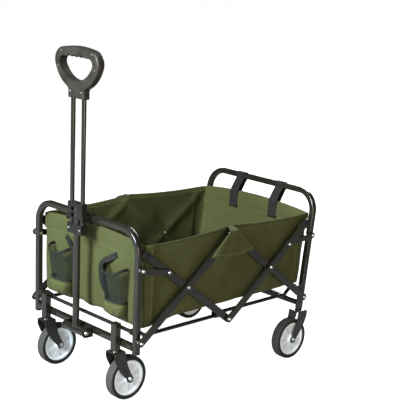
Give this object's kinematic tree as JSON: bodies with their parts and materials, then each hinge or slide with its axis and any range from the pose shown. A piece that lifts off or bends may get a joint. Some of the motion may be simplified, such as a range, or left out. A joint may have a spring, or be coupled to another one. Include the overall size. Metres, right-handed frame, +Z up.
{
  "type": "folding wagon",
  "caption": "Folding fabric wagon on a scissor frame, with swivel front casters, fixed rear wheels, a push bar and a telescopic pull handle with a D-grip.",
  "frame": {"origin": "on the floor, midway between the lower front and rear scissor pivots", "axes": "+X forward to the handle end, +Y to the wagon's left, +Z up"},
  "size_m": [0.8455, 0.574, 1.073],
  "materials": {
    "frame": "satin black-bronze powder coat",
    "steel": "bright zinc plate",
    "black_plastic": "moulded black, light gloss",
    "grip_plastic": "fine moulded texture",
    "hub_plastic": "pale grey moulded",
    "tyre": "black, lightly ribbed tread",
    "fabric": "olive green woven polyester",
    "mesh": "black open mesh with bound rims",
    "webbing": "black woven webbing"
  },
  "bodies": {
    "rear_frame": {"rear_u_frame": "frame", "rear_crossbar": "frame", "rear_floor_rod": "frame", "rear_fork_left": "frame", "rear_fork_right": "frame", "rear_axles": "steel", "rear_rivets": "steel", "rear_straps": "webbing"},
    "arm_d": {"arm_d_left": "frame", "arm_d_right": "frame"},
    "arm_c": {"arm_c_left": "frame", "arm_c_right": "frame", "arm_c_rivets": "steel", "rear_end_caps": "black_plastic"},
    "arm_b": {"arm_b_left": "frame", "arm_b_right": "frame", "front_end_caps": "black_plastic"},
    "arm_a": {"arm_a_left": "frame", "arm_a_right": "frame", "arm_a_rivets": "steel"},
    "front_frame": {"front_u_frame": "frame", "front_crossbar": "frame", "front_floor_rod": "frame", "caster_post_left": "frame", "caster_post_right": "frame", "caster_post_caps": "black_plastic", "handle_ears": "frame", "handle_pivot_bolt": "steel", "handle_clip": "black_plastic", "front_rivets": "steel", "king_bolts": "steel"},
    "caster_left": {"caster_fork_left": "frame", "caster_axle_left": "steel"},
    "caster_right": {"caster_fork_right": "frame", "caster_axle_right": "steel"},
    "front_wheel_left": {"front_hub_left": "hub_plastic", "front_tyre_left": "tyre"},
    "front_wheel_right": {"front_hub_right": "hub_plastic", "front_tyre_right": "tyre"},
    "rear_wheel_left": {"rear_hub_left": "hub_plastic", "rear_tyre_left": "tyre"},
    "rear_wheel_right": {"rear_hub_right": "hub_plastic", "rear_tyre_right": "tyre"},
    "handle": {"handle_lower_tube": "frame", "handle_guide": "black_plastic"},
    "handle_upper": {"handle_rods": "frame", "handle_slider": "black_plastic", "grip_front_shell": "grip_plastic", "grip_rear_shell": "grip_plastic", "upper_handle_fasteners": "steel"},
    "front_link": {"front_links": "frame", "front_link_rivets": "steel"},
    "rear_link": {"rear_links": "frame"},
    "front_bars": {"front_floor_bars": "frame"},
    "rear_bars": {"rear_floor_bars": "frame", "centre_brackets": "black_plastic"},
    "tub_body": {"tub": "fabric", "tub_flaps": "fabric", "front_pockets": "mesh", "rear_pockets": "mesh"}
  },
  "joints": [
    {"name": "fold", "type": "hinge", "parent": "rear_frame", "child": "arm_d", "pos_m": [-0.368, 0, 0.212], "axis": [0, -1, 0], "range_deg": [0, 38.1], "deforming": ["tub", "tub_flaps", "front_pockets", "rear_pockets"]},
    {"name": "rear_cross_pivot", "type": "hinge", "parent": "arm_d", "child": "arm_c", "pos_m": [-0.184, 0, 0.3535], "axis": [0, -1, 0], "range_deg": [-76.19, 0]},
    {"name": "low_middle_pivot", "type": "hinge", "parent": "arm_c", "child": "arm_b", "pos_m": [0, 0, 0.212], "axis": [0, -1, 0], "range_deg": [0, 76.19]},
    {"name": "front_cross_pivot", "type": "hinge", "parent": "arm_b", "child": "arm_a", "pos_m": [0.184, 0, 0.3535], "axis": [0, -1, 0], "range_deg": [-76.19, 0]},
    {"name": "front_foot_pivot", "type": "hinge", "parent": "arm_a", "child": "front_frame", "pos_m": [0.368, 0, 0.212], "axis": [0, -1, 0], "range_deg": [0, 38.1]},
    {"name": "front_link_pivot", "type": "hinge", "parent": "front_frame", "child": "front_link", "pos_m": [0.368, 0, 0.4374], "axis": [0, -1, 0], "range_deg": [-83.8, 0]},
    {"name": "rear_link_pivot", "type": "hinge", "parent": "rear_frame", "child": "rear_link", "pos_m": [-0.39459, 0, 0.42852], "axis": [0, -1, 0], "range_deg": [0, 67.26]},
    {"name": "front_floor_pivot", "type": "hinge", "parent": "front_frame", "child": "front_bars", "pos_m": [0.368, 0, 0.2366], "axis": [0, -1, 0], "range_deg": [-74.75, 0]},
    {"name": "rear_floor_pivot", "type": "hinge", "parent": "rear_frame", "child": "rear_bars", "pos_m": [-0.37102, 0, 0.2366], "axis": [0, -1, 0], "range_deg": [0, 74.75]},
    {"name": "tub_rise", "type": "slide", "parent": "rear_frame", "child": "tub_body", "axis": [0, 0, 1], "range_m": [0, 0.1668]},
    {"name": "caster_swivel_left", "type": "hinge", "parent": "front_frame", "child": "caster_left", "pos_m": [0.389, 0.182, 0.165], "axis": [0, 0, 1], "continuous": true},
    {"name": "front_wheel_spin_left", "type": "hinge", "parent": "caster_left", "child": "front_wheel_left", "pos_m": [0.345, 0.182, 0.07], "axis": [0, 1, 0], "continuous": true},
    {"name": "rear_wheel_spin_left", "type": "hinge", "parent": "rear_frame", "child": "rear_wheel_left", "pos_m": [-0.31823, 0.255, 0.07], "axis": [0, 1, 0], "continuous": true},
    {"name": "caster_swivel_right", "type": "hinge", "parent": "front_frame", "child": "caster_right", "pos_m": [0.389, -0.182, 0.165], "axis": [0, 0, 1], "continuous": true},
    {"name": "front_wheel_spin_right", "type": "hinge", "parent": "caster_right", "child": "front_wheel_right", "pos_m": [0.345, -0.182, 0.07], "axis": [0, 1, 0], "continuous": true},
    {"name": "rear_wheel_spin_right", "type": "hinge", "parent": "rear_frame", "child": "rear_wheel_right", "pos_m": [-0.31823, -0.255, 0.07], "axis": [0, 1, 0], "continuous": true},
    {"name": "handle_tilt", "type": "hinge", "parent": "front_frame", "child": "handle", "pos_m": [0.404, 0, 0.186], "axis": [0, 1, 0], "range_deg": [0, 90]},
    {"name": "handle_slide", "type": "slide", "parent": "handle", "child": "handle_upper", "axis": [0, 0, 1], "range_m": [-0.26, 0]}
  ],
  "couplings": [
    {"joint": "rear_cross_pivot", "follows": "fold", "ratio": -2},
    {"joint": "low_middle_pivot", "follows": "fold", "ratio": 2},
    {"joint": "front_cross_pivot", "follows": "fold", "ratio": -2},
    {"joint": "front_foot_pivot", "follows": "fold", "ratio": 1},
    {"joint": "front_link_pivot", "follows": "fold", "ratio": -2.1997},
    {"joint": "rear_link_pivot", "follows": "fold", "ratio": 1.7654},
    {"joint": "front_floor_pivot", "follows": "fold", "ratio": -1.962},
    {"joint": "rear_floor_pivot", "follows": "fold", "ratio": 1.962},
    {"joint": "tub_rise", "follows": "fold", "m_per_rad": 0.25081}
  ]
}
